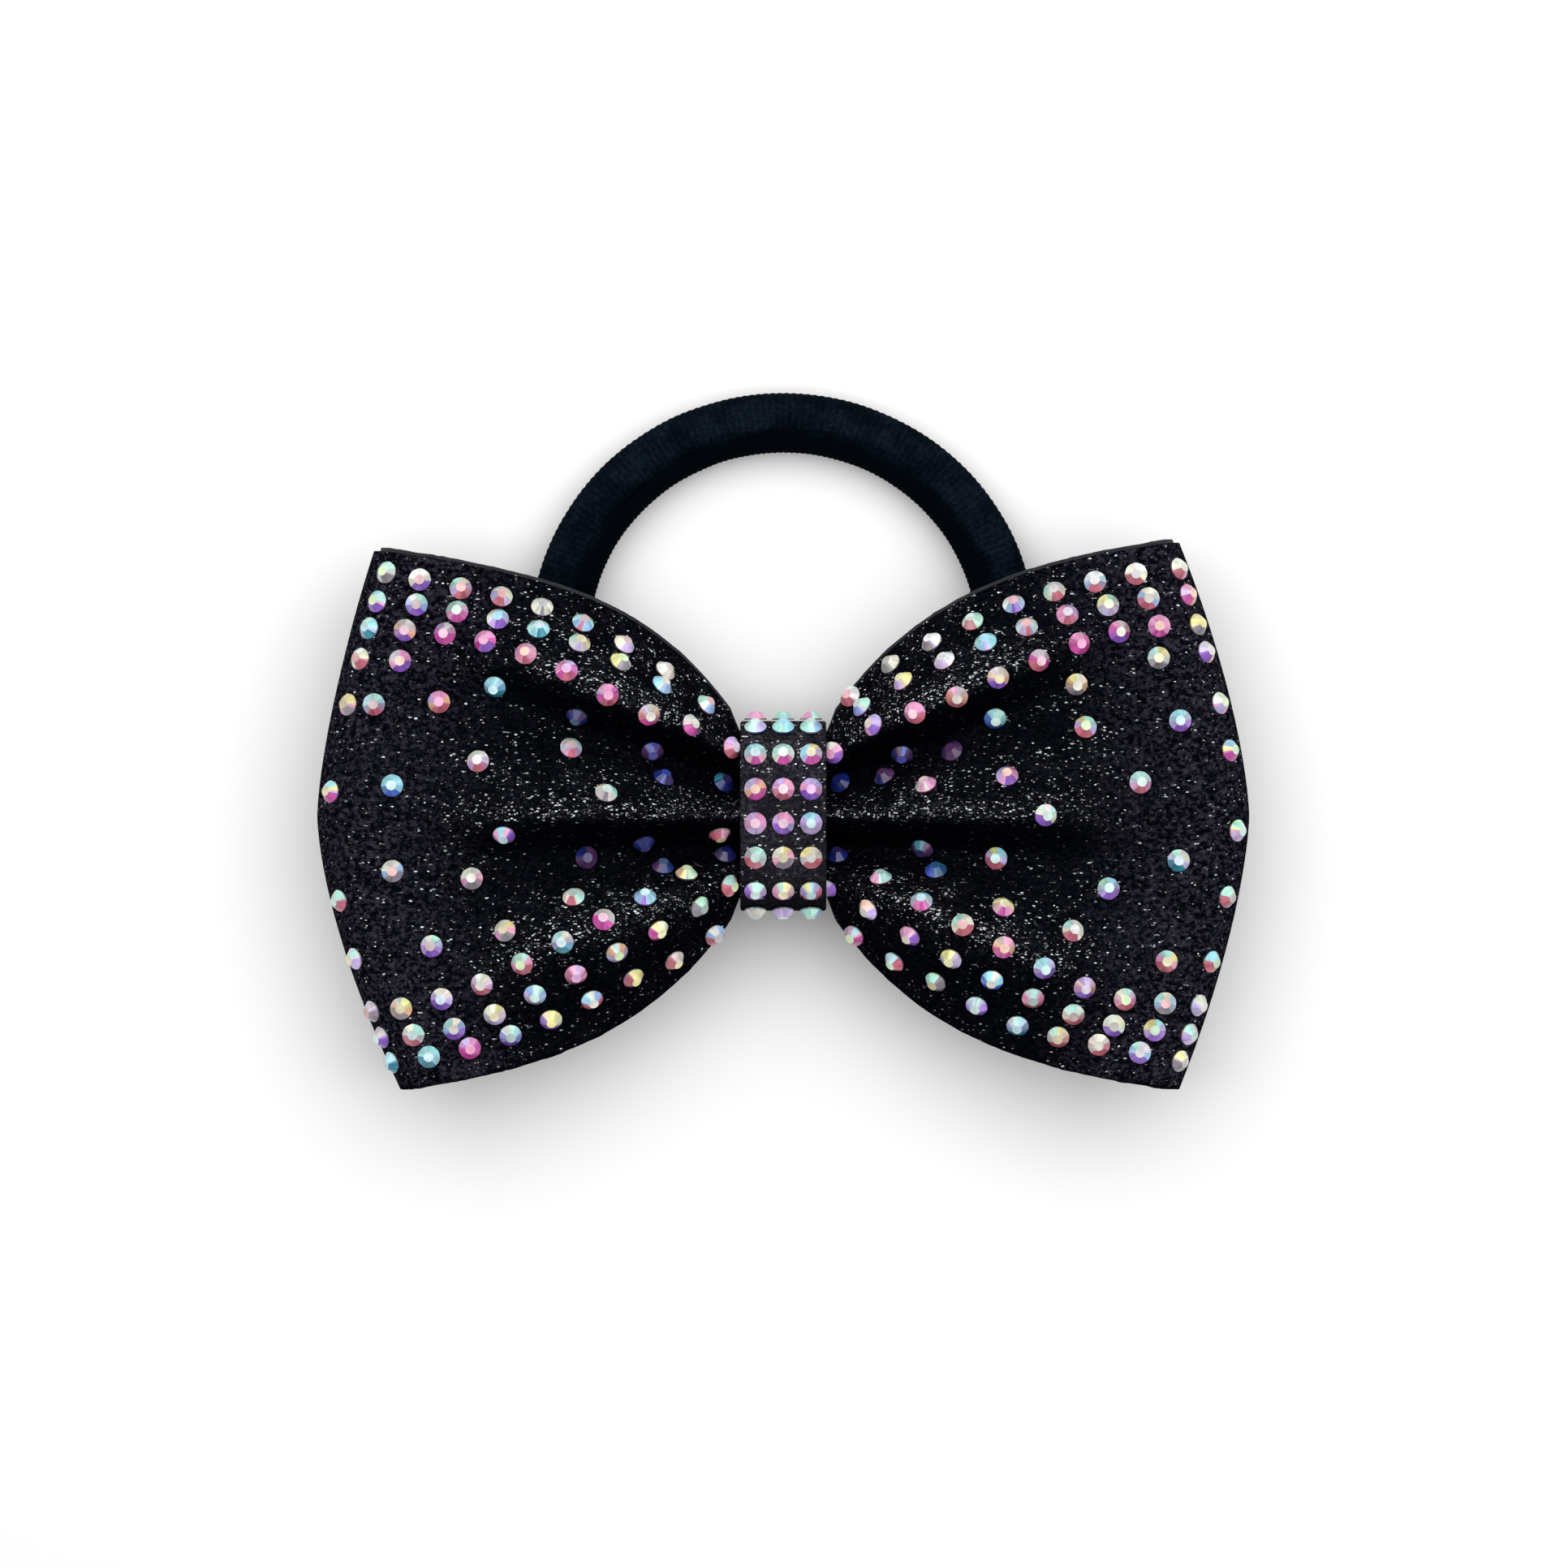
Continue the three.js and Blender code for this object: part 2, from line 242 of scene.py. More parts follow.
def border_droop(share, x, w):
    places = pleat_places(x)
    crest = -places[0] if w < 0 else places[3]
    beyond_crest = max(0, (abs(w) - crest) / (1 - crest))
    along_loop = smooth(0, 0.25, share) * (1 - smooth(0.6, 1, share))
    return BORDER_DROP * along_loop * beyond_crest**1.5


def front_height(x, w):
    share = loop_share(x, w)
    rise = (FOLD_HEIGHT + FOLD_RADIUS - KNOT_TOP) * share * (2 - share)
    bulge = LOOP_BULGE * math.sin(math.pi * share**0.75) ** 2
    bundled = mix(PINCH_RISE, PLEAT_RISE, smooth(PINCH_END, BUNDLE_START, x))
    depth = (PLEAT_RISE + PLEAT_GROWTH * share) * (1 - share) ** 2 if share > 0 else bundled
    return KNOT_TOP + rise + bulge + depth * pleat_wave(x, w) - border_droop(share, x, w)


def back_height(x, w):
    share = loop_share(x, w)
    if share == 0:
        return front_height(x, w) - KNOT_DEPTH
    return HOLLOW_FLOOR + PLEAT_RISE * (1 - share) ** 3 * (1 + pleat_wave(x, w))


print("ribbon: half width", round(half_width(50), 1), "mm at 50 mm from the knot's middle")

# %% [markdown]
# ## From a flat grid to the folded ribbon
#
# Each layer starts as a flat bmesh grid, as a maker starts from a cut strip. Every vertex of the grid
# then moves to its place on the folded surface. The grid is copied, the copy moves inwards by the
# cloth's thickness, and bridging the two open edges closes the sheet. Depth is measured in the side
# view only, so the steep pleats never run into themselves.

# %% Ribbon layers
STRIP_LENGTH = 262
STRIP_WIDTH = 72.5
KNOT_ROWS = 6
PANEL_ROWS = 64
FOLD_ROWS = 22
ACROSS = 104
END_GAP = 0.3
LEFT_LEAN = 2.4
LEFT_DROP = 1.1
FRAY = 0.22


def panel_x(row, w, home):
    """Distance from the middle of row number row of a panel, counted from the knot."""
    if row <= KNOT_ROWS:
        return mix(home, KNOT_END, row / KNOT_ROWS)
    return mix(KNOT_END, fold_start(w), (row - KNOT_ROWS) / PANEL_ROWS)


def loop_point(row, w, depth):
    """A point of the right loop: row 0 is the middle of the front, and the last row is the back end."""
    panel = KNOT_ROWS + PANEL_ROWS
    if row <= panel:
        x = panel_x(row, w, 0)
        return x, w * half_width(x), front_height(x, w) - depth
    if row < panel + FOLD_ROWS:
        angle = math.pi * (0.5 - (row - panel) / FOLD_ROWS)
        outer = fold_start(w) + FOLD_RADIUS * math.cos(angle)
        x = outer - depth * math.cos(angle)
        return x, w * half_width(outer), FOLD_HEIGHT + (FOLD_RADIUS - depth) * math.sin(angle)
    x = panel_x(2 * panel + FOLD_ROWS - row, w, END_GAP)
    return x, w * half_width(x), back_height(x, w) + depth


LOOP_ROWS = 2 * (KNOT_ROWS + PANEL_ROWS) + FOLD_ROWS


def fray(row, w):
    """Up to a few tenths of a millimetre of unevenness at the cut borders."""
    return FRAY * smooth(0.97, 1, abs(w)) * noise.noise(Vector((row * 0.9, 7 * w, 3.1)))


def hand_made(side, x, w):
    """The left loop isn't a true mirror of the right: its fold leans and its upper border is lower."""
    if side > 0:
        return 0, 0
    lean = LEFT_LEAN * w * abs(w) * (x / LOOP_REACH) ** 2
    drop = LEFT_DROP * smooth(8, 40, x) * smooth(0, 0.7, w)
    return lean, -drop


def cloth_point(row, w, depth, overhang):
    x, y, z = loop_point(abs(row), w, depth)
    x_change, y_change = hand_made(row, x, w)
    x += x_change
    y += y_change + math.copysign(fray(row, w), w) + overhang * smooth(0.92, 1, w)
    return Vector((math.copysign(x, row) if row else 0, y, z)) * MM


# The cloth material paints shade in the valleys, a glitter highlight on the crests and sheen near the fold
# from these values.
def cloth_relief(row, w):
    """How deep in a pleat a place lies, how near a crest and how near the fold, each from 0 to 1."""
    panel = KNOT_ROWS + PANEL_ROWS
    if row >= panel:
        return 0, 0, 1
    x = panel_x(row, w, 0)
    share = loop_share(x, w)
    wave = pleat_wave(x, w)
    valley = smooth(0.35, -0.75, wave) * (1 - share) ** 0.6 * (1 - smooth(0.75, 0.95, abs(w)))
    crest = clamp(wave) ** 5 * (1 - smooth(0.55, 0.85, share))
    return valley, crest, smooth(0.55, 1, share)


def finish_piece(shape, name, material, body="bow"):
    """Turns a bmesh into a smooth-shaded object that rides on a body."""
    bmesh.ops.recalc_face_normals(shape, faces=shape.faces)
    for face in shape.faces:
        face.smooth = True
    mesh = bpy.data.meshes.new(name)
    shape.to_mesh(mesh)
    shape.free()
    piece = bpy.data.objects.new(name, mesh)
    bpy.context.scene.collection.objects.link(piece)
    mesh.materials.append(material)
    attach(piece, body)
    return piece


def make_layer(name, depth, overhang, material, node):
    shape = bmesh.new()
    bmesh.ops.create_grid(shape, x_segments=2 * LOOP_ROWS, y_segments=ACROSS, size=1)
    strip = shape.loops.layers.uv.new("strip")
    valley = shape.verts.layers.float.new("valley")
    crest = shape.verts.layers.float.new("crest")
    near_fold = shape.verts.layers.float.new("near_fold")
    strip_place = {}
    outer = list(shape.verts)
    copies = bmesh.ops.duplicate(shape, geom=shape.faces[:])["geom"]
    inner = [part for part in copies if isinstance(part, bmesh.types.BMVert)]
    for verts, level in ((outer, depth), (inner, depth + CLOTH_THICKNESS)):
        for vert in verts:
            row = round(vert.co.x * LOOP_ROWS)
            w = max(-1, min(1, vert.co.y))
            vert[valley], vert[crest], vert[near_fold] = cloth_relief(abs(row), w)
            vert.co = cloth_point(row, w, level, overhang)
            strip_place[vert] = (0.5 + row / LOOP_ROWS / 2, 0.5 + w / 2)
    open_edges = [edge for edge in shape.edges if edge.is_boundary]
    bmesh.ops.bridge_loops(shape, edges=open_edges)
    for face in shape.faces:
        for loop in face.loops:
            loop[strip].uv = strip_place[loop.vert]
    piece = finish_piece(shape, name, material)
    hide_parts(node)
    print(name, len(piece.data.polygons), "faces")
    return piece

# %% [markdown]
# ## Black glitter cloth
#
# The ribbon is covered in short black fibres with fine glitter caught in them. Two shader groups are
# built once: one makes the fuzzy fibre mottle, which the elastic uses too, and the other picks out
# tiny cells as glitter. A group gives only masks, and each material feeds them to its own shader.
# Light and shade are painted into the cloth's colour: the pile and the glitter are painted brighter
# where the cloth faces up the table, towards the light, and darker in the pleats' valleys. The glitter
# is painted thicker on the crests as highlight, and pale flakes are painted as sheen near the fold.


# %% Node helpers
def new_material(name):
    material = bpy.data.materials.new(name)
    material.use_nodes = True
    tree = material.node_tree
    return material, tree, tree.nodes["Principled BSDF"]


def set_input(tree, socket, value):
    if isinstance(value, bpy.types.NodeSocket):
        tree.links.new(value, socket)
    else:
        socket.default_value = value


def math_node(tree, operation, first, second=0.5, third=0.5, clamped=False):
    node = tree.nodes.new("ShaderNodeMath")
    node.operation = operation
    node.use_clamp = clamped
    for socket, value in zip(node.inputs, (first, second, third)):
        set_input(tree, socket, value)
    return node.outputs[0]


def span(tree, value, low, high, to_low=0.0, to_high=1.0):
    """Maps low..high to to_low..to_high with soft ends."""
    node = tree.nodes.new("ShaderNodeMapRange")
    node.interpolation_type = "SMOOTHSTEP"
    limits = {"Value": value, "From Min": low, "From Max": high, "To Min": to_low, "To Max": to_high}
    for name, number in limits.items():
        set_input(tree, node.inputs[name], number)
    return node.outputs["Result"]


def blend_colours(tree, share, first, second):
    node = tree.nodes.new("ShaderNodeMix")
    node.data_type = "RGBA"
    for socket, value in ((node.inputs[0], share), (node.inputs[6], first), (node.inputs[7], second)):
        set_input(tree, socket, value)
    return node.outputs[2]


def noise_value(tree, vector, scale, detail=2.0, roughness=0.5, distortion=0.0):
    node = tree.nodes.new("ShaderNodeTexNoise")
    set_input(tree, node.inputs["Vector"], vector)
    node.inputs["Scale"].default_value = scale
    node.inputs["Detail"].default_value = detail
    node.inputs["Roughness"].default_value = roughness
    node.inputs["Distortion"].default_value = distortion
    return node.outputs["Fac"]


def scaled(tree, vector, scale):
    node = tree.nodes.new("ShaderNodeMapping")
    set_input(tree, node.inputs["Vector"], vector)
    set_input(tree, node.inputs["Scale"], scale)
    return node.outputs["Vector"]


def own_value(tree, name):
    """A value that the piece carries on its own vertices."""
    node = tree.nodes.new("ShaderNodeAttribute")
    node.attribute_name = name
    return node.outputs["Fac"]


def object_place(tree):
    return tree.nodes.new("ShaderNodeTexCoord").outputs["Object"]


def add_bump(tree, height, distance, strength):
    node = tree.nodes.new("ShaderNodeBump")
    node.inputs["Strength"].default_value = strength
    node.inputs["Distance"].default_value = distance
    set_input(tree, node.inputs["Height"], height)
    return node.outputs["Normal"]


# %% Shared cloth groups
def make_group(name, inputs, outputs):
    group = bpy.data.node_groups.new(name, "ShaderNodeTree")
    for socket_name, socket_type, value in inputs:
        socket = group.interface.new_socket(socket_name, in_out="INPUT", socket_type=socket_type)
        if value is not None:
            socket.default_value = value
    for socket_name, socket_type in outputs:
        group.interface.new_socket(socket_name, in_out="OUTPUT", socket_type=socket_type)
    return group, group.nodes.new("NodeGroupInput").outputs, group.nodes.new("NodeGroupOutput").inputs


def fuzz_group():
    """Fibre tufts: a fine mottle, small flakes of pile, sharp pale fibres and broader patches."""
    group, given, result = make_group(
        "cloth_fuzz",
        [("Place", "NodeSocketVector", None)],
        [(name, "NodeSocketFloat") for name in ("Tufts", "Flakes", "Fibres", "Patches")],
    )
    place = given["Place"]
    short_dashes = scaled(group, place, (0.8, 1, 1))
    long_dashes = scaled(group, place, (0.55, 1, 1))
    noises = {
        "Tufts": (noise_value(group, place, 2000, 3, 0.65), 0.36, 0.72),
        "Flakes": (noise_value(group, short_dashes, 1700, 2, 0.8, 0.3), 0.42, 0.7),
        "Fibres": (noise_value(group, long_dashes, 3300, 3, 0.8, 0.8), 0.55, 0.72),
        "Patches": (noise_value(group, place, 210, 3, 0.6), 0.36, 0.66),
    }
    for name, (value, low, high) in noises.items():
        set_input(group, result[name], span(group, value, low, high))
    return group


def glitter_group():
    """Glitter: a cell of the pattern glints if its random value is above Rarity. Most glints are faint.

    The pattern is pushed about by a noise, and each cell has its own size, so no two flecks are alike.
    """
    group, given, result = make_group(
        "cloth_glitter",
        [("Place", "NodeSocketVector", None), ("Rarity", "NodeSocketFloat", 0.9)],
        [("Glint", "NodeSocketFloat"), ("Tint", "NodeSocketFloat")],
    )
    push = group.nodes.new("ShaderNodeTexNoise")
    set_input(group, push.inputs["Vector"], given["Place"])
    push.inputs["Scale"].default_value = 3000
    pushed = group.nodes.new("ShaderNodeVectorMath")
    pushed.operation = "MULTIPLY_ADD"
    set_input(group, pushed.inputs[0], push.outputs["Color"])
    pushed.inputs[1].default_value = (0.0003, 0.00022, 0.00022)
    set_input(group, pushed.inputs[2], given["Place"])
    cells = group.nodes.new("ShaderNodeTexVoronoi")
    cells.feature = "F1"
    set_input(group, cells.inputs["Vector"], pushed.outputs[0])
    cells.inputs["Scale"].default_value = 5200
    parts = group.nodes.new("ShaderNodeSeparateColor")
    set_input(group, parts.inputs["Color"], cells.outputs["Color"])
    chosen = math_node(group, "GREATER_THAN", parts.outputs["Red"], given["Rarity"])
    size = span(group, parts.outputs["Blue"], 0, 1, 0.28, 0.62)
    middle = math_node(group, "LESS_THAN", cells.outputs["Distance"], size)
    glint = math_node(group, "MULTIPLY", chosen, middle)
    shine = math_node(group, "POWER", parts.outputs["Green"], 2.6)
    set_input(group, result["Glint"], math_node(group, "MULTIPLY", glint, shine))
    set_input(group, result["Tint"], parts.outputs["Blue"])
    return group


def use_group(tree, group, **given):
    node = tree.nodes.new("ShaderNodeGroup")
    node.node_tree = group
    for name, value in given.items():
        set_input(tree, node.inputs[name.replace("_", " ")], value)
    return node.outputs


FUZZ = fuzz_group()
GLITTER = glitter_group()
print("shared groups:", FUZZ.name, GLITTER.name)


# %% Glitter cloth material
def facing_up_the_table(tree):
    """A mask for painted light: 1 where the cloth faces +Y, where the light is, and near 0 where it faces
    away.
    """
    surface = tree.nodes.new("ShaderNodeNewGeometry")
    turn = tree.nodes.new("ShaderNodeSeparateXYZ")
    set_input(tree, turn.inputs[0], surface.outputs["Normal"])
    return span(tree, turn.outputs["Y"], -1.1, 0.5)


def glitter_density(tree, patches, painted_light_and_shade, near_fold):
    """How thickly the glitter lies: more on the crests as painted highlight, less in the valleys and away
    from the light as painted shade, and less near the fold.
    """
    spread = span(tree, patches, 0, 1, 0.25, 0.85)
    crest_highlight_and_patches = math_node(tree, "MULTIPLY_ADD", own_value(tree, "crest"), 1.5, spread)
    # Fewer glints near the fold.
    fading = math_node(tree, "MULTIPLY_ADD", near_fold, -0.75, 1)
    return math_node(tree, "MULTIPLY", math_node(tree, "MULTIPLY", painted_light_and_shade, crest_highlight_and_patches), fading)


def pile_colour(tree, fuzz, colours, painted_light_and_shade, facing_light, density, near_fold):
    """The cloth without its glitter: a dark pile painted lighter towards the light and darker in the
    valleys, pale fibres, and flakes painted as sheen that show most at the fold.
    """
    pile = math_node(tree, "MULTIPLY", fuzz["Tufts"], span(tree, fuzz["Patches"], 0, 1, 0.35, 1))
    # Painted light and shade: the pile is lighter where it faces the light and darker in the valleys.
    lit_pile = math_node(tree, "MULTIPLY", pile, painted_light_and_shade)
    cloth = blend_colours(tree, lit_pile, colours["dark"], colours["light"])
    # The pale fibres follow the glitter's density, so they too are painted brighter towards the light.
    fibres = math_node(tree, "MULTIPLY", fuzz["Fibres"], density)
    few_fibres = math_node(tree, "MULTIPLY", fibres, 0.6, clamped=True)
    cloth = blend_colours(tree, few_fibres, cloth, colours["fibre"])
    # Painted sheen: the pale flakes show most near the fold, and less where the cloth faces away from the
    # light.
    flakes = math_node(tree, "MULTIPLY", fuzz["Flakes"], math_node(tree, "MAXIMUM", near_fold, 0.12))
    lit_flakes = math_node(tree, "MULTIPLY", flakes, span(tree, facing_light, 0, 0.6, 0.3, 0.9))
    return blend_colours(tree, lit_flakes, cloth, colours["flake_and_sheen"])


def glitter_cloth(name, colours, least_glitter, most_glitter):
    material, tree, shader = new_material(name)
    place = object_place(tree)
    fuzz = use_group(tree, FUZZ, Place=place)
    # Painted shade: the pile and the glitter are darkened in the pleats' valleys.
    painted_valley_shade = math_node(tree, "MULTIPLY_ADD", own_value(tree, "valley"), -0.95, 1)
    facing_light = facing_up_the_table(tree)
    # Painted light and shade: this mask paints the pile and the glitter brighter where the cloth faces the
    # light and darker in the valleys.
    painted_light_and_shade = math_node(tree, "MULTIPLY", facing_light, painted_valley_shade)
    near_fold = own_value(tree, "near_fold")
    density = glitter_density(tree, fuzz["Patches"], painted_light_and_shade, near_fold)
    added = math_node(tree, "MULTIPLY", density, most_glitter)
    rarity = math_node(tree, "SUBTRACT", 1 - least_glitter, added)
    glitter = use_group(tree, GLITTER, Place=scaled(tree, place, (0.5, 1, 1)), Rarity=rarity)
    cloth = pile_colour(tree, fuzz, colours, painted_light_and_shade, facing_light, density, near_fold)
    glint_colour = blend_colours(tree, glitter["Tint"], WARM_GLINT, COOL_GLINT)
    # Painted highlight: the glints are pale colour, brightest where the cloth faces the light.
    glint = math_node(tree, "MULTIPLY", glitter["Glint"], span(tree, painted_light_and_shade, 0, 0.7, 0.1, 1))
    set_input(tree, shader.inputs["Base Color"], blend_colours(tree, glint, cloth, glint_colour))
    set_input(tree, shader.inputs["Roughness"], math_node(tree, "MULTIPLY_ADD", glint, -0.5, 0.95))
    shader.inputs["Specular IOR Level"].default_value = 0
    set_input(tree, shader.inputs["Normal"], add_bump(tree, fuzz["Tufts"], 0.00025, 0.7))
    return material


WARM_GLINT = (0.95, 0.84, 0.72, 1)
COOL_GLINT = (0.85, 0.94, 1, 1)
# The pile blends from the dark colour to the light one with the painted light and shade, and the flake
# colour is pale pile painted as sheen.
RIBBON_COLOURS = {
    "dark": (0.0006, 0.001, 0.002, 1),
    "light": (0.0062, 0.0076, 0.0116, 1),
    "flake_and_sheen": (0.038, 0.036, 0.052, 1),
    "fibre": (0.08, 0.08, 0.09, 1),
}
BAND_COLOURS = {
    "dark": (0.005, 0.005, 0.008, 1),
    "light": (0.06, 0.056, 0.07, 1),
    "flake_and_sheen": (0.08, 0.078, 0.095, 1),
    "fibre": (0.16, 0.16, 0.17, 1),
}
RIBBON_CLOTH = glitter_cloth("ribbon_glitter", RIBBON_COLOURS, least_glitter=0.03, most_glitter=0.24)
BAND_CLOTH = glitter_cloth("band_glitter", BAND_COLOURS, least_glitter=0.08, most_glitter=0.16)
print("cloth:", RIBBON_CLOTH.name, BAND_CLOTH.name)

# %% [markdown]
# ## Lining cloth and thread
#
# The lining is a plain, tightly woven black backing that shows inside the loops and as a thin grey
# line at the ribbon's borders. Its weave is two crossed bands of ridges, read from the grid of the
# layer's own UV map, so the weave runs along the strip round the fold.


# %% Lining and thread materials
def lining_cloth():
    material, tree, shader = new_material("woven_lining")
    uv = tree.nodes.new("ShaderNodeUVMap")
    uv.uv_map = "strip"
    millimetres = scaled(tree, uv.outputs["UV"], (STRIP_LENGTH, STRIP_WIDTH, 1))
    ridges = []
    for direction in ("X", "Y"):
        wave = tree.nodes.new("ShaderNodeTexWave")
        wave.bands_direction = direction
        wave.inputs["Scale"].default_value = 0.8
        wave.inputs["Distortion"].default_value = 0.4
        set_input(tree, wave.inputs["Vector"], millimetres)
        ridges.append(wave.outputs["Fac"])
    weave = math_node(tree, "MAXIMUM", *ridges)
    fading = noise_value(tree, object_place(tree), 90, 3)
    share = math_node(tree, "MULTIPLY", weave, span(tree, fading, 0.25, 0.75, 0.5, 1))
    dark, light = (0.01, 0.011, 0.014, 1), (0.04, 0.042, 0.048, 1)
    set_input(tree, shader.inputs["Base Color"], blend_colours(tree, share, dark, light))
    shader.inputs["Specular IOR Level"].default_value = 0.15
    set_input(tree, shader.inputs["Roughness"], span(tree, fading, 0.3, 0.7, 0.55, 0.75))
    set_input(tree, shader.inputs["Normal"], add_bump(tree, weave, 0.0001, 0.5))
    return material


def thread_material():
    material, tree, shader = new_material("twisted_thread")
    twist = tree.nodes.new("ShaderNodeTexWave")
    twist.bands_direction = "DIAGONAL"
    twist.inputs["Scale"].default_value = 700
    twist.inputs["Distortion"].default_value = 0.6
    set_input(tree, twist.inputs["Vector"], object_place(tree))
    dark, light = (0.008, 0.008, 0.01, 1), (0.045, 0.045, 0.05, 1)
    set_input(tree, shader.inputs["Base Color"], blend_colours(tree, twist.outputs["Fac"], dark, light))
    set_input(tree, shader.inputs["Normal"], add_bump(tree, twist.outputs["Fac"], 0.0001, 0.6))
    shader.inputs["Roughness"].default_value = 0.6
    return material


LINING_CLOTH = lining_cloth()
THREAD = thread_material()
print("cloth:", LINING_CLOTH.name, THREAD.name)

# %% [markdown]
# ## The ribbon and its lining
#
# The outer layer is the glitter cloth and the inner one the lining, with a small gap left between
# them for glue. Both are sheets cut flat to the same width and length before folding, and the maker
# gathers them at the knot.

# %% Make the ribbon
LINING_DEPTH = CLOTH_THICKNESS + LAYER_GAP
LINING_OVERHANG = 0.45
glitter_layer = make_layer("glitter_layer", 0, 0, RIBBON_CLOTH, "glitter_strip")
lining_layer = make_layer(
    "lining_layer", LINING_DEPTH, LINING_OVERHANG, LINING_CLOTH, "backing_strip"
)

# %% [markdown]
# ## Binding thread
#
# A few turns of thread hold the gathers before the band covers them. Its line is a curve with a
# round bevel, which is the simplest way to make a thread that follows a known path.


# %% Make the thread
def rounded_turn():
    """One turn round the pinched ribbon in the Y-Z plane, as points at even steps of angle."""
    half_across, low, high, front_corner, back_corner = 10.55, 10.5, 19.3, 5, 2.2
    corners = (
        (half_across - front_corner, high - front_corner, front_corner, 90),
        (half_across - back_corner, low + back_corner, back_corner, 0),
        (back_corner - half_across, low + back_corner, back_corner, -90),
        (front_corner - half_across, high - front_corner, front_corner, -180),
    )
    points = []
    for middle_y, middle_z, radius, start in corners:
        for step in range(7):
            angle = math.radians(start - 15 * step)
            points.append((middle_y + radius * math.cos(angle), middle_z + radius * math.sin(angle)))
    return points


def make_thread():
    turns = 3
    pitch = 0.9
    radius = 0.25
    one_turn = rounded_turn()
    curve = bpy.data.curves.new("binding_thread_path", "CURVE")
    curve.dimensions = "3D"
    curve.bevel_depth = radius * MM
    curve.bevel_resolution = 2
    curve.use_fill_caps = True
    line = curve.splines.new("POLY")
    line.points.add(turns * len(one_turn) - 1)
    for index, point in enumerate(line.points):
        y, z = one_turn[index % len(one_turn)]
        x = pitch * (index / len(one_turn) - turns / 2)
        point.co = (x * MM, y * MM, z * MM, 1)
    thread = bpy.data.objects.new("wound_thread", curve)
    bpy.context.scene.collection.objects.link(thread)
    curve.materials.append(THREAD)
    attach(thread, "bow")
    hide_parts("binding_thread")
    print("wound_thread:", turns, "turns")


make_thread()

# %% [markdown]
# ## Centre band
#
# The band is a narrow strip of the same glitter cloth, glued into a rounded ring. Its outline in
# side view has a flat back that lies on the table, sides that swell, and round front corners. The
# outline is extruded along X as a closed ring, and a small bevel softens its cut sides.

# %% Band outline
BAND_THICKNESS = 1.1
BAND_HALF_HEIGHT = 12.5
BAND_DEPTH = 21
BAND_CORNER = 6.75
BAND_BACK_HALF = 4
BAND_BEVEL = 0.3
BAND_STEPS = 24


def bezier(start, first_pull, second_pull, end, share):
    rest = 1 - share
    weights = (rest**3, 3 * rest**2 * share, 3 * rest * share**2, share**3)
    terms = zip((start, first_pull, second_pull, end), weights)
    return sum((Vector(point) * weight for point, weight in terms), Vector((0, 0)))


def half_band_outline():
    """The +Y half of the outline, from the back's middle to the front's middle."""
    shoulder = BAND_HALF_HEIGHT - BAND_CORNER
    side_top = BAND_DEPTH - BAND_CORNER
    points = [Vector((BAND_BACK_HALF * step / 4, 0)) for step in range(4)]
    pulls = ((BAND_BACK_HALF, 0), (9, 0), (BAND_HALF_HEIGHT, 7), (BAND_HALF_HEIGHT, side_top))
    points += [bezier(*pulls, step / 22) for step in range(22)]
    for step in range(16):
        angle = math.pi / 2 * step / 16
        across, up = BAND_CORNER * math.cos(angle), BAND_CORNER * math.sin(angle)
        points.append(Vector((shoulder + across, side_top + up)))
    points += [Vector((shoulder * (1 - step / 8), BAND_DEPTH)) for step in range(9)]
    return points


def band_outline():
    half = half_band_outline()
    mirrored = [Vector((-point.x, point.y)) for point in reversed(half[1:-1])]
    return half + mirrored


# %% Make the band
def make_band():
    outline = band_outline()
    count = len(outline)
    shape = bmesh.new()
    bmesh.ops.create_circle(shape, segments=count, radius=1)
    rim = sorted(shape.verts, key=lambda vert: math.atan2(vert.co.y, vert.co.x) % (2 * math.pi))
    for vert, point in zip(rim, outline):
        vert.co = Vector((-BAND_WIDTH / 2, point.x, point.y)) * MM
    ring = shape.edges[:]
    for step in range(BAND_STEPS):
        grown = bmesh.ops.extrude_edge_only(shape, edges=ring)["geom"]
        ring = [part for part in grown if isinstance(part, bmesh.types.BMEdge)]
        moved = [part for part in grown if isinstance(part, bmesh.types.BMVert)]
        bmesh.ops.translate(shape, verts=moved, vec=(BAND_WIDTH / BAND_STEPS * MM, 0, 0))
    bmesh.ops.recalc_face_normals(shape, faces=shape.faces)
    middle = Vector((0, 0, BAND_DEPTH / 2 * MM))
    if sum(face.normal.dot(face.calc_center_median() - middle) for face in shape.faces) < 0:
        bmesh.ops.reverse_faces(shape, faces=shape.faces)
    bmesh.ops.solidify(shape, geom=shape.faces[:], thickness=BAND_THICKNESS * MM)
    sides = [edge for edge in shape.edges if abs(edge.calc_face_angle(0)) > math.radians(60)]
    bmesh.ops.bevel(
        shape, geom=sides, affect="EDGES", offset=BAND_BEVEL * MM, segments=3, profile=0.5, material=-1
    )
    band = finish_piece(shape, "band_cloth_ring", BAND_CLOTH)
    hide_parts("center_band")
    print("band_cloth_ring:", len(band.data.polygons), "faces")


make_band()

# %% [markdown]
# ## Knitted elastic
#
# The elastic is a thick knitted tube with fine cross ribs and a fold on its inner side. It is a
# chain of rings round an oval line, made as a bmesh grid closed on itself. Each rib is a swell of the
# radius, and the fold is a narrow groove.

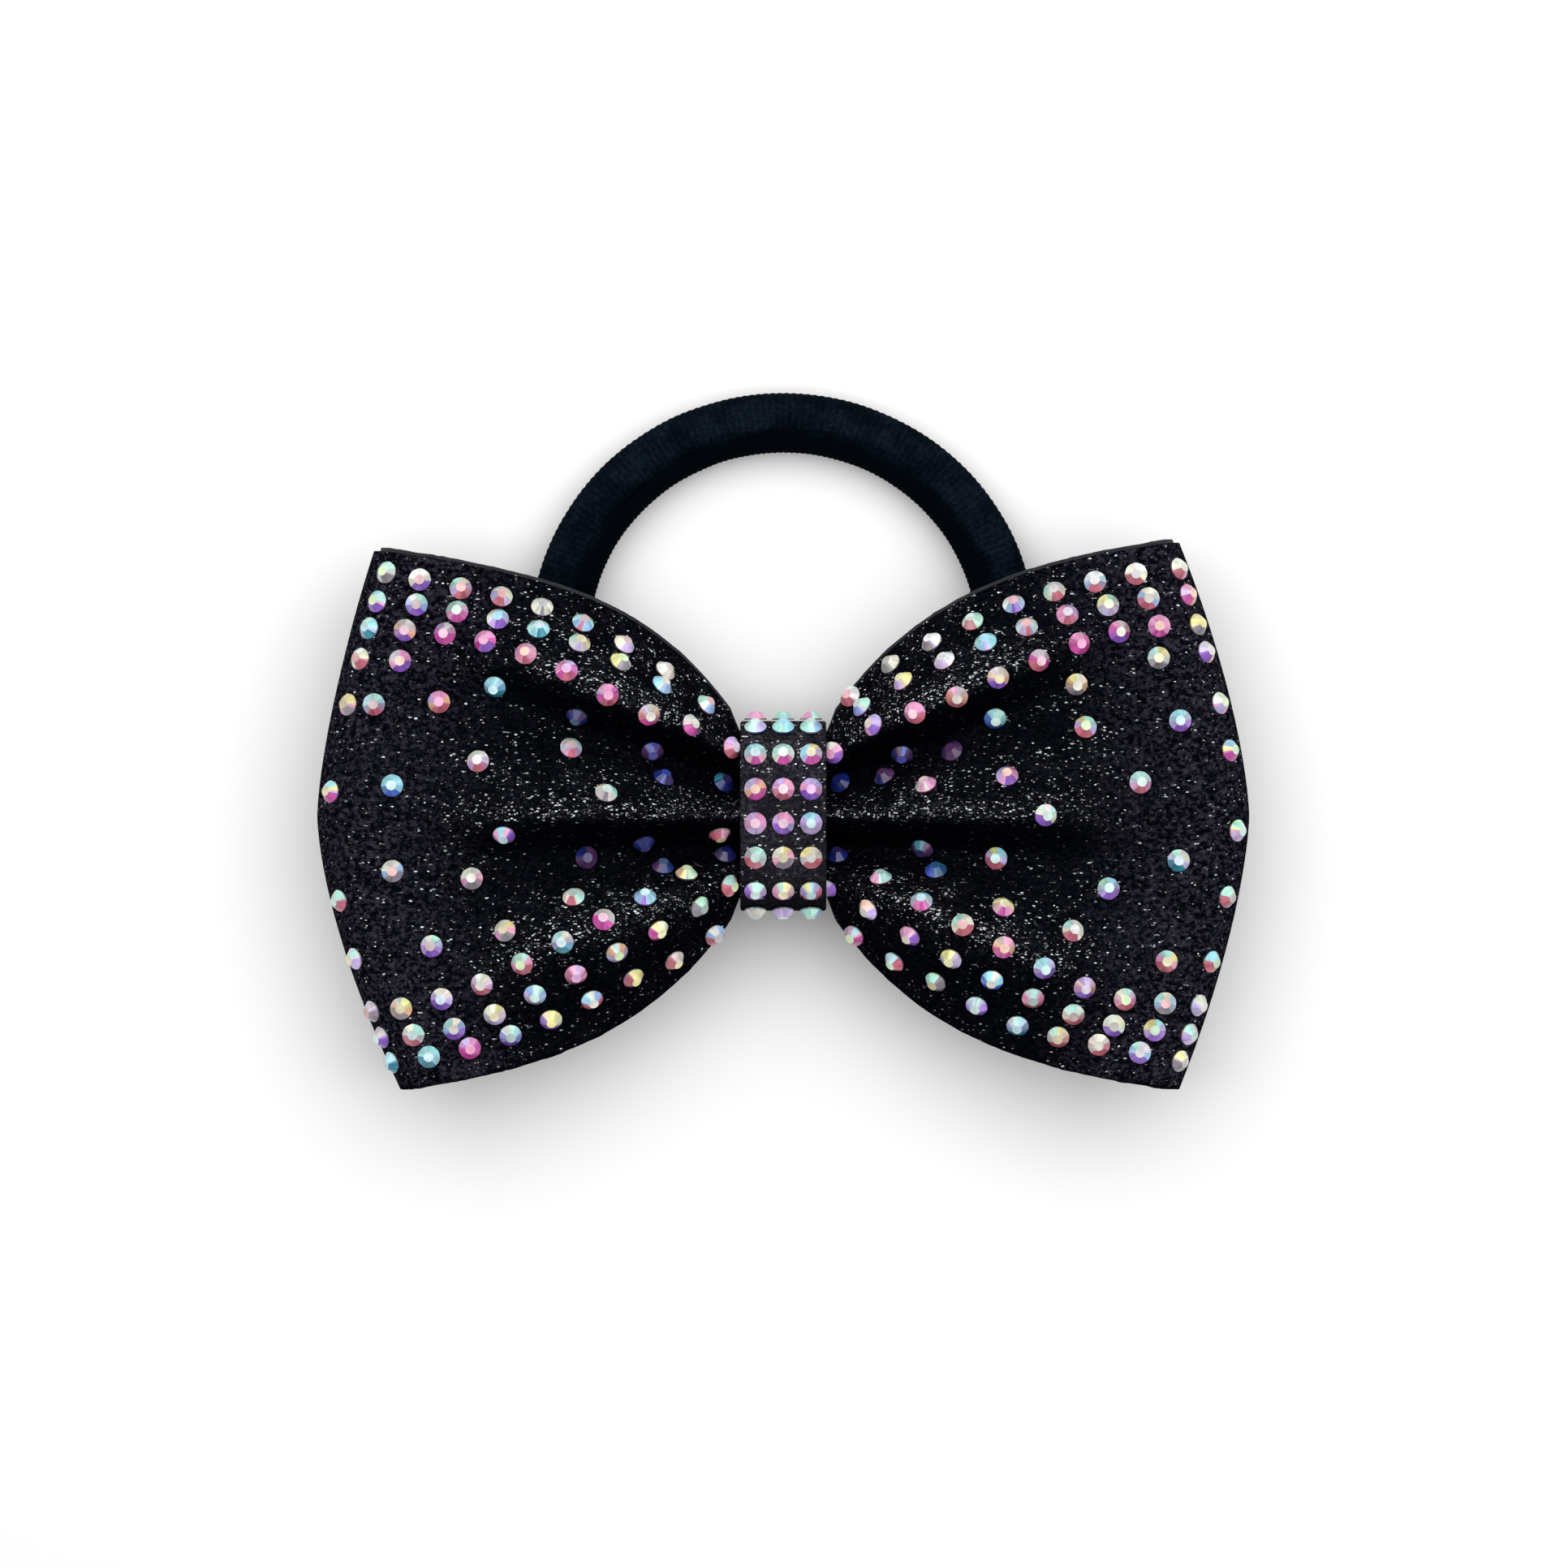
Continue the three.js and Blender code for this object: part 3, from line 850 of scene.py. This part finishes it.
# %% Elastic dimensions
ELASTIC_HINGE = Vector((0, 0, 5.85))
ELASTIC_HALF_WIDTH = 29.7
ELASTIC_FAR_REACH = 28.8
ELASTIC_TUCKED_REACH = 23.5
TUBE_RADIUS = 4.05
RIB_COUNT = 222
STEPS_PER_RIB = 4
TUBE_SIDES = 44
GROOVE_ANGLE = math.radians(117)
GROOVE_DEPTH = 0.95
GROOVE_SPREAD = 0.16
ELASTIC_TILT = -math.asin((ELASTIC_HINGE.z - TUBE_RADIUS) / (ELASTIC_TUCKED_REACH + ELASTIC_FAR_REACH))


def elastic_point(step, turn):
    """A point of the ring. step counts along it, and turn is the angle round the tube from outwards."""
    angle = 2 * math.pi * step / (RIB_COUNT * STEPS_PER_RIB)
    cosine, sine = math.cos(angle), math.sin(angle)
    reach = ELASTIC_FAR_REACH if sine > 0 else ELASTIC_TUCKED_REACH
    centre = Vector((ELASTIC_HALF_WIDTH * cosine, ELASTIC_TUCKED_REACH + reach * sine, 0))
    away = Vector((reach * cosine, ELASTIC_HALF_WIDTH * sine, 0)).normalized()
    rib = math.cos(2 * math.pi * step / STEPS_PER_RIB)
    wander = noise.noise(Vector((5 * cosine, 5 * sine, 2)))
    offset = (abs(turn) - GROOVE_ANGLE - 0.2 * wander) / GROOVE_SPREAD
    groove = GROOVE_DEPTH * math.exp(-offset * offset)
    radius = TUBE_RADIUS - 0.08 + 0.05 * rib + 0.06 * wander - groove
    return centre + away * radius * math.cos(turn) + Vector((0, 0, radius * math.sin(turn)))


# %% Elastic material
def elastic_knit():
    material, tree, shader = new_material("knitted_elastic")
    place = object_place(tree)
    fuzz = use_group(tree, FUZZ, Place=place)
    rib = tree.nodes.new("ShaderNodeAttribute")
    rib.attribute_name = "rib"
    tufts = span(tree, fuzz["Tufts"], 0, 1, 0.4, 1)
    patches = span(tree, fuzz["Patches"], 0, 1, 0.35, 1)
    pile = math_node(tree, "MULTIPLY", tufts, patches)
    # Painted shade: the inner lobe past the groove is made nearly black here, and each rib is slightly
    # lighter than the dip between ribs.
    pile_with_painted_shade = math_node(tree, "MULTIPLY", rib.outputs["Fac"], pile)
    colour = blend_colours(tree, pile_with_painted_shade, (0.0003, 0.0012, 0.0028, 1), (0.0075, 0.013, 0.022, 1))
    set_input(tree, shader.inputs["Base Color"], colour)
    shader.inputs["Roughness"].default_value = 0.9
    shader.inputs["Specular IOR Level"].default_value = 0.01
    height = math_node(tree, "MULTIPLY_ADD", fuzz["Tufts"], 0.5, rib.outputs["Fac"])
    set_input(tree, shader.inputs["Normal"], add_bump(tree, height, 0.0002, 0.6))
    return material


ELASTIC_KNIT = elastic_knit()


# %% Make the elastic
def make_elastic():
    steps = RIB_COUNT * STEPS_PER_RIB
    shape = bmesh.new()
    bmesh.ops.create_grid(shape, x_segments=steps, y_segments=TUBE_SIDES, size=0.5)
    height = shape.verts.layers.float.new("rib")
    placement = Matrix.Translation(ELASTIC_HINGE) @ Matrix.Rotation(ELASTIC_TILT, 4, "X")
    for vert in shape.verts:
        step = round((vert.co.x + 0.5) * steps)
        turn = 2 * math.pi * vert.co.y
        # Painted shade: the inner lobe past the groove gets a low value, which the knit material paints
        # nearly black.
        lit_outer_lobe = 1 - smooth(GROOVE_ANGLE - 0.07, GROOVE_ANGLE, abs(turn))
        rib = 0.8 + 0.2 * math.cos(2 * math.pi * step / STEPS_PER_RIB)
        vert[height] = rib * mix(0.08, 1, lit_outer_lobe)
        vert.co = placement @ elastic_point(step, turn) * MM
    bmesh.ops.remove_doubles(shape, verts=shape.verts, dist=0.000005)
    elastic = finish_piece(shape, "knitted_elastic", ELASTIC_KNIT, body="elastic")
    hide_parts("hair_elastic")
    print("knitted_elastic:", len(elastic.data.polygons), "faces,", RIB_COUNT, "ribs")


make_elastic()

# %% [markdown]
# ## Faceted stones
#
# Each stone is flat at the back, with a girdle, a table, and a crown of eight main facets with two
# narrow ones between each pair. It is an eight-sided cone cut off at the table, whose slanting edges
# are bevelled. Its rainbow coating is a face colour. The hues are the coating's own, and their layout
# is painted light and shade: the facets that look up the table, towards the light, are painted pale,
# and those that look down it show one deep colour as painted shade. The upright girdle faces are
# painted darker as shadow. A family lists the colours that a stone can have above, at the sides,
# below and on its table. The choice is random but seeded, so it never changes.

# %% Stone dimensions and colours
STONE_DIAMETER = 3.1
STONE_HEIGHT = 1.1
STONE_TABLE = 0.44
STONE_GIRDLE = 0.2
GLUE_GAP = 0.15
CYAN, MINT, SKY, WHITE = (168, 232, 244), (190, 242, 226), (168, 204, 250), (250, 252, 250)
CREAM, YELLOW, PEACH, PEARL = (246, 246, 226), (248, 240, 165), (240, 190, 150), (212, 206, 206)
LILAC, PINK, ROSE, SMOKE = (206, 186, 238), (240, 168, 208), (204, 108, 128), (150, 142, 150)
MAGENTA, PURPLE, BLUE, TEAL = (208, 84, 168), (148, 98, 206), (84, 116, 226), (60, 140, 160)
NAVY, PLUM = (30, 42, 118), (84, 52, 96)
FAMILIES = {
    "cream": ((MINT, CREAM, WHITE), (CREAM, SKY, LILAC), (ROSE, ROSE, PURPLE, SMOKE), (PEARL, SMOKE, ROSE)),
    "cool": ((CYAN, MINT, CREAM), (SKY, LILAC, CYAN), (BLUE, PURPLE, LILAC, TEAL), (SKY, PEARL, WHITE)),
    "mixed": ((MINT, CYAN, YELLOW), (LILAC, PINK, CREAM), (PURPLE, MAGENTA, ROSE), (YELLOW, PEARL, CREAM)),
    "pale": ((CYAN, MINT, PINK), (SKY, LILAC, WHITE), (PEARL, LILAC, MINT, PINK), (WHITE, PEARL)),
    "gold": ((YELLOW, CREAM, MINT), (PEACH, PINK, PEARL), (SMOKE, LILAC, ROSE), (SMOKE, PEARL, YELLOW)),
    "pink": ((PINK, LILAC, PEARL), (PINK, PEACH, MAGENTA), (MAGENTA, PURPLE, ROSE), (YELLOW, PINK, CREAM)),
    "lilac": ((LILAC, CYAN, PINK), (LILAC, PINK), (PURPLE, LILAC, SMOKE), (SMOKE, PEARL)),
    # Dark colours painted as shade on stones in the pleats' valleys.
    "deep_shade": ((BLUE, NAVY, TEAL, PLUM), (NAVY, PLUM), (PLUM, NAVY), (NAVY, PLUM)),
}
COMMON_FAMILIES = ("cream", "cream", "cool", "mixed", "mixed", "gold", "gold", "pink")


# %% Stone shape
def stone_template():
    """One stone as a mesh that stands on its own XY plane, table up, in metres."""
    radius = STONE_DIAMETER / 2 * MM
    shape = bmesh.new()
    crown = (STONE_HEIGHT - STONE_GIRDLE) * MM
    bmesh.ops.create_cone(
        shape, cap_ends=True, segments=8, radius1=radius, radius2=radius * STONE_TABLE, depth=crown
    )
    bmesh.ops.translate(shape, verts=shape.verts, vec=(0, 0, STONE_GIRDLE * MM + crown / 2))
    slanting = [edge for edge in shape.edges if abs(edge.verts[0].co.z - edge.verts[1].co.z) > crown / 2]
    bmesh.ops.bevel(
        shape, geom=slanting, affect="EDGES", offset_type="PERCENT", offset=30, segments=2,
        profile=0.5, material=-1,
    )
    back = [face for face in shape.faces if face.normal.z < -0.9]
    grown = bmesh.ops.extrude_face_region(shape, geom=back)["geom"]
    moved = [part for part in grown if isinstance(part, bmesh.types.BMVert)]
    bmesh.ops.translate(shape, verts=moved, vec=(0, 0, -STONE_GIRDLE * MM))
    bmesh.ops.delete(shape, geom=back, context="FACES_ONLY")
    bmesh.ops.recalc_face_normals(shape, faces=shape.faces)
    mesh = bpy.data.meshes.new("stone_template")
    shape.to_mesh(mesh)
    shape.free()
    return mesh


STONE = stone_template()
print("stone:", len(STONE.polygons), "faces")


# %% Stone colours
def linear(colour, level):
    """A display colour from 0 to 255 as the linear colour that a shader needs."""
    return [((channel * level / 255 + 0.055) / 1.055) ** 2.4 for channel in colour] + [1]


def facet_colours(dice, family, normals):
    """A colour for each face of one stone, with painted light and shade: pale towards +Y, where the light
    is, one hue at the sides, a dark hue towards -Y, and darker girdle faces.
    """
    upper, side, lower, tables = FAMILIES[family]
    top, other_top = dice.choice(upper), dice.choice(upper)
    flank, deep_shade = dice.choice(side), dice.choice(lower)
    turn = dice.uniform(-0.5, 0.5)
    sectors = []
    for sector in range(8):
        angle = 2 * math.pi * (sector + 0.5) / 8 + turn
        up = math.cos(angle)
        pale = top if math.sin(angle) > 0 else other_top
        # Painted light and shade: facets facing +Y, towards the light, take the pale colours, and facets
        # facing -Y take the dark one.
        share = smooth(-0.1, -0.8, up)
        colour = [mix(first, second, smooth(0.8, -0.1, up)) for first, second in zip(pale, flank)]
        colour = [mix(first, second, share) for first, second in zip(colour, deep_shade)]
        light = dice.uniform(0.86, 1.04)
        sectors.append([channel * light * dice.uniform(0.96, 1.03) for channel in colour])
    table = [mix(own, pale, 0.5) for own, pale in zip(dice.choice(tables), top)]
    colours = []
    for own, world in normals:
        azimuth = math.atan2(world.x, world.y) % (2 * math.pi)
        sector = sectors[int(azimuth / (2 * math.pi) * 8) % 8]
        colour = table if own.z > 0.9 else sector
        # Painted shadow: the upright girdle faces are darker, as in the contact shadow round each stone;
        # the other faces vary at random.
        level = 0.6 if own.z < 0.1 else dice.uniform(0.92, 1.02)
        colours.append(linear([min(255, channel) for channel in colour], min(level, 1)))
    return colours


# %% Stone material
def stone_material():
    material, tree, shader = new_material("rainbow_stone")
    colour = tree.nodes.new("ShaderNodeAttribute")
    colour.attribute_name = "facet_colour"
    place = object_place(tree)
    cloud = noise_value(tree, place, 900, 1)
    shade = span(tree, cloud, 0.3, 0.7, 0.8, 1.05)
    level = tree.nodes.new("ShaderNodeCombineColor")
    for socket in level.inputs[:3]:
        set_input(tree, socket, shade)
    tinted = tree.nodes.new("ShaderNodeMix")
    tinted.data_type = "RGBA"
    tinted.blend_type = "MULTIPLY"
    tinted.inputs[0].default_value = 1
    set_input(tree, tinted.inputs[6], colour.outputs["Color"])
    set_input(tree, tinted.inputs[7], level.outputs[0])
    set_input(tree, shader.inputs["Base Color"], tinted.outputs[2])
    set_input(tree, shader.inputs["Roughness"], span(tree, cloud, 0.2, 0.8, 0.06, 0.14))
    shader.inputs["Specular IOR Level"].default_value = 0.4
    shader.inputs["Coat Weight"].default_value = 0.3
    shader.inputs["Coat Roughness"].default_value = 0.05
    return material


STONE_FINISH = stone_material()


# %% Stone objects
def placement(place, outward):
    turn = Vector((0, 0, 1)).rotation_difference(outward).to_matrix().to_4x4()
    return Matrix.Translation((place + outward * GLUE_GAP) * MM) @ turn


def make_stones(name, places, seed, nodes=()):
    """One object with a stone at every (place, outward, family) of places. The family "any" is drawn."""
    dice = random.Random(seed)
    shape = bmesh.new()
    layer = shape.loops.layers.float_color.new("facet_colour")
    for place, outward, family in places:
        family = dice.choice(COMMON_FAMILIES) if family == "any" else family
        spin = Matrix.Rotation(dice.uniform(0, math.pi / 4), 4, "Z")
        matrix = placement(place, outward) @ spin
        first = len(shape.faces)
        shape.from_mesh(STONE)
        shape.faces.ensure_lookup_table()
        faces = shape.faces[first:]
        own_normals = [face.normal.copy() for face in faces]
        verts = list({vert for face in faces for vert in face.verts})
        bmesh.ops.transform(shape, matrix=matrix, verts=verts)
        turned = [(own, matrix.to_3x3() @ own) for own in own_normals]
        for face, colour in zip(faces, facet_colours(dice, family, turned)):
            for loop in face.loops:
                loop[layer] = colour
    mesh = bpy.data.meshes.new(name)
    shape.to_mesh(mesh)
    shape.free()
    mesh.materials.append(STONE_FINISH)
    stones = bpy.data.objects.new(name, mesh)
    bpy.context.scene.collection.objects.link(stones)
    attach(stones, "bow")
    if nodes:
        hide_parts(*nodes)
    return stones


# %% [markdown]
# ## Stones on the band
#
# Three columns of stones follow the band's front in rows at an even pitch, measured along the
# outline, so the last rows turn over the band's top and underside.

# %% Knot stones
KNOT_ROW_PITCH = 4.5
KNOT_ROW_SHIFT = 1.3
KNOT_STONE_ROWS = 8
KNOT_COLUMN_PITCH = 3.65
KNOT_COLUMNS = 3
KNOT_FAMILIES = ("pale", "cool", "mixed", "pink", "lilac", "gold", "mixed", "pale")


def front_outline_place(distance):
    shoulder = BAND_HALF_HEIGHT - BAND_CORNER
    turn = min(max(0, abs(distance) - shoulder) / BAND_CORNER, math.pi / 2)
    down = max(0, abs(distance) - shoulder - BAND_CORNER * math.pi / 2)
    y = min(abs(distance), shoulder) + BAND_CORNER * math.sin(turn)
    z = BAND_DEPTH - BAND_CORNER * (1 - math.cos(turn)) - down
    side = math.copysign(1, distance)
    return Vector((0, side * y, z)), Vector((0, side * math.sin(turn), math.cos(turn)))


for row in range(1, KNOT_STONE_ROWS + 1):
    distance = KNOT_ROW_PITCH * ((KNOT_STONE_ROWS + 1) / 2 - row) + KNOT_ROW_SHIFT
    place, outward = front_outline_place(distance)
    for column in range(1, KNOT_COLUMNS + 1):
        across = Vector((KNOT_COLUMN_PITCH * (column - (KNOT_COLUMNS + 1) / 2), 0, 0))
        name = f"r{row}c{column}"
        places = [(place + across, outward, KNOT_FAMILIES[row - 1])]
        make_stones(f"band_stone_{name}", places, f"band {name}", [f"knot_stone_{name}"])
print("band stones:", KNOT_STONE_ROWS * KNOT_COLUMNS)

# %% [markdown]
# ## Stones on the folds
#
# The outermost stones sit on the turn of each fold, where the cloth already leans outwards. They lean
# with it, about half way between facing up and facing out.

# %% Edge stones
EDGE_STONE_TILT = math.radians(45)
LEFT_TILT_CHANGE = math.radians(15)
EDGE_SINK = 0.3
RIGHT_EDGE = (32.4, 29, 25.1, 21.5, 14.8, 8.6, -1.9, -10.6, -19.1, -24.8, -28.6, -32.1)
LEFT_EDGE = (31.9, 28.1, 24.6, 20.6, 14.6, 3.2, -11.1, -18.7, -25.6, -29, -32.3)


def edge_place(side, y):
    """Right stones lean at one angle. Left ones lean less towards the upper corner, with the cloth.

    The stones press into the cloth, so that their flat backs stay close to the round fold.
    """
    half = half_width(LOOP_REACH - FOLD_RADIUS)
    w = (y - hand_made(side, LOOP_REACH, y / half)[1]) / half
    tilt = EDGE_STONE_TILT - (0 if side > 0 else LEFT_TILT_CHANGE * w)
    reach = fold_start(w) + FOLD_RADIUS * math.sin(tilt)
    height = FOLD_HEIGHT + FOLD_RADIUS * math.cos(tilt)
    step = 0.01
    turn = -(fold_start(w + step) - fold_start(w - step)) / (2 * step * half_width(reach))
    outward = Vector((side, turn, 1 / math.tan(tilt))).normalized()
    place = Vector((side * (reach + hand_made(side, reach, w)[0]), y, height))
    return place - EDGE_SINK * outward, outward, "any"


for word, side, heights in (("right", 1, RIGHT_EDGE), ("left", -1, LEFT_EDGE)):
    for number, y in enumerate(heights, 1):
        name = f"{word}_fold_stone_{number}"
        make_stones(name, [edge_place(side, y)], name, [f"{word}_edge_stone_{number}"])
print("fold stones:", len(RIGHT_EDGE) + len(LEFT_EDGE))

# %% [markdown]
# ## Stones on the loops
#
# The maker glued three curved rows above the middle of each loop and three below, then filled the
# pleats between with scattered stones. A row is a start, an even pitch and a count, and its distance
# from the middle is a share of the half width that follows a smooth curve through a few values. The
# height and lean of each stone come from the ribbon's own surface.

# %% Places on the loop
STONE_ROWS = (
    ("right", 8.9, 8, (0.98, 0.875, 0.882, 0.898, 0.91), "cream"),
    ("right", 10.5, 8, (0.8, 0.745, 0.768, 0.798, 0.81), "any"),
    ("right", 6.6, 9, (0.655, 0.553, 0.61, 0.69, 0.7), "pink"),
    ("right", 9.4, 8, (-0.96, -0.82, -0.868, -0.873, -0.89), "any"),
    ("right", 11.3, 8, (-0.63, -0.652, -0.722, -0.788, -0.785), "any"),
    ("right", 18, 7, (-0.36, -0.452, -0.567, -0.678, -0.685), "any"),
    ("left", 10.3, 8, (0.8, 0.822, 0.856, 0.864, 0.89), "cream"),
    ("left", 16, 7, (0.715, 0.728, 0.76, 0.773, 0.79), "any"),
    ("left", 6.9, 9, (0.66, 0.54, 0.633, 0.684, 0.68), "pink"),
    ("left", 9.1, 8, (-0.98, -0.81, -0.845, -0.89, -0.9), "any"),
    ("left", 11.1, 8, (-0.63, -0.625, -0.705, -0.8, -0.805), "any"),
    ("left", 18, 7, (-0.36, -0.43, -0.548, -0.67, -0.715), "any"),
)
ROW_PITCH = 5.32
STONE_RIM = 1.3
RIGHT_SCATTER = (
    (49.1, 20.7), (38.3, 17.3), (51.9, 12.5), (39.5, 11.6), (27.7, 12.9), (22.2, 8.4), (15.6, 8.2),
    (13.4, 5), (18.7, 3.9), (29.2, 5.1), (46.6, 4.4), (7.5, 4.3), (34.1, 0.2), (7.1, -5.4),
    (18.3, -4.1), (27.9, -5.5), (20, -7.3), (51.7, -5.8), (12.8, -8.3), (42.5, -9.5), (6, -9.3),
    (28.6, -12), (37.7, -15), (50.1, -19),
)
LEFT_SCATTER = (
    (50.1, 20.3), (53.5, 14.6), (45, 14.9), (37.6, 17), (26.9, 13.2), (27.8, 8.8), (39.8, 7.1),
    (17.2, 8.6), (15.8, 4.8), (7.9, 4.3), (23.1, 2.9), (51.1, 4), (36.4, -2.3), (25.8, -5.4),
    (18.3, -3.3), (15.8, -6.9), (8.4, -2.1), (7.6, -5.3), (7.2, -9.1), (51.1, -7.2), (40.7, -8.2),
    (12.7, -7.8), (45.9, -17), (27.3, -10.7), (36.2, -15),
)


def curve_through(values, share):
    """A smooth curve through evenly spaced values."""
    along = clamp(share) * (len(values) - 1)
    index = min(int(along), len(values) - 2)
    ends = [values[max(0, min(len(values) - 1, index + step))] for step in (-1, 0, 1, 2)]
    t = along - index
    slope, next_slope = (ends[2] - ends[0]) / 2, (ends[3] - ends[1]) / 2
    rise = ends[2] - ends[1]
    bend = 3 * rise - 2 * slope - next_slope
    return ends[1] + t * (slope + t * (bend + t * (slope + next_slope - 2 * rise)))


def surface_height(x, y):
    w = max(-1, min(1, y / half_width(x)))
    beyond = x - fold_start(w)
    if beyond <= 0:
        return front_height(x, w)
    return FOLD_HEIGHT + math.sqrt(max(0, FOLD_RADIUS**2 - beyond**2))


def in_valley(x, w):
    lower_crest, upper_crest = pleat_places(x)[0], pleat_places(x)[3]
    return lower_crest < w < upper_crest and pleat_wave(x, w) < -0.2 and loop_share(x, w) < 0.45


def loop_place(side, x, y, family="any"):
    """Where a stone rests on the front of a loop, from the surface's height at four points of its rim."""
    rim = STONE_RIM
    x_change, y_change = hand_made(side, x, y / half_width(x))
    x_flat, y_flat = x - x_change, y - y_change
    right, left = surface_height(x_flat + rim, y_flat), surface_height(x_flat - rim, y_flat)
    above, below = surface_height(x_flat, y_flat + rim), surface_height(x_flat, y_flat - rim)
    middle = max(surface_height(x_flat, y_flat), (right + left + above + below) / 4)
    outward = Vector((-(right - left) * side, -(above - below), 2 * rim)).normalized()
    # Painted shade: a stone in a pleat's valley takes the dark colours.
    family = "deep_shade" if in_valley(x_flat, y_flat / half_width(x_flat)) else family
    return Vector((side * x, y, middle)), outward, family


# %% Loop stones
def row_places(wanted, side):
    places = []
    for word, start, count, shares, family in STONE_ROWS:
        if word == wanted:
            for number in range(count):
                x = start + ROW_PITCH * number
                y = half_width(x) * curve_through(shares, (x - 6) / 48)
                places.append(loop_place(side, x, y, family))
    return places


for word, side, scatter in (("right", 1, RIGHT_SCATTER), ("left", -1, LEFT_SCATTER)):
    places = row_places(word, side) + [loop_place(side, x, y) for x, y in scatter]
    make_stones(f"{word}_loop_stones", places, f"{word} loop")
    print(word, "loop stones:", len(places))
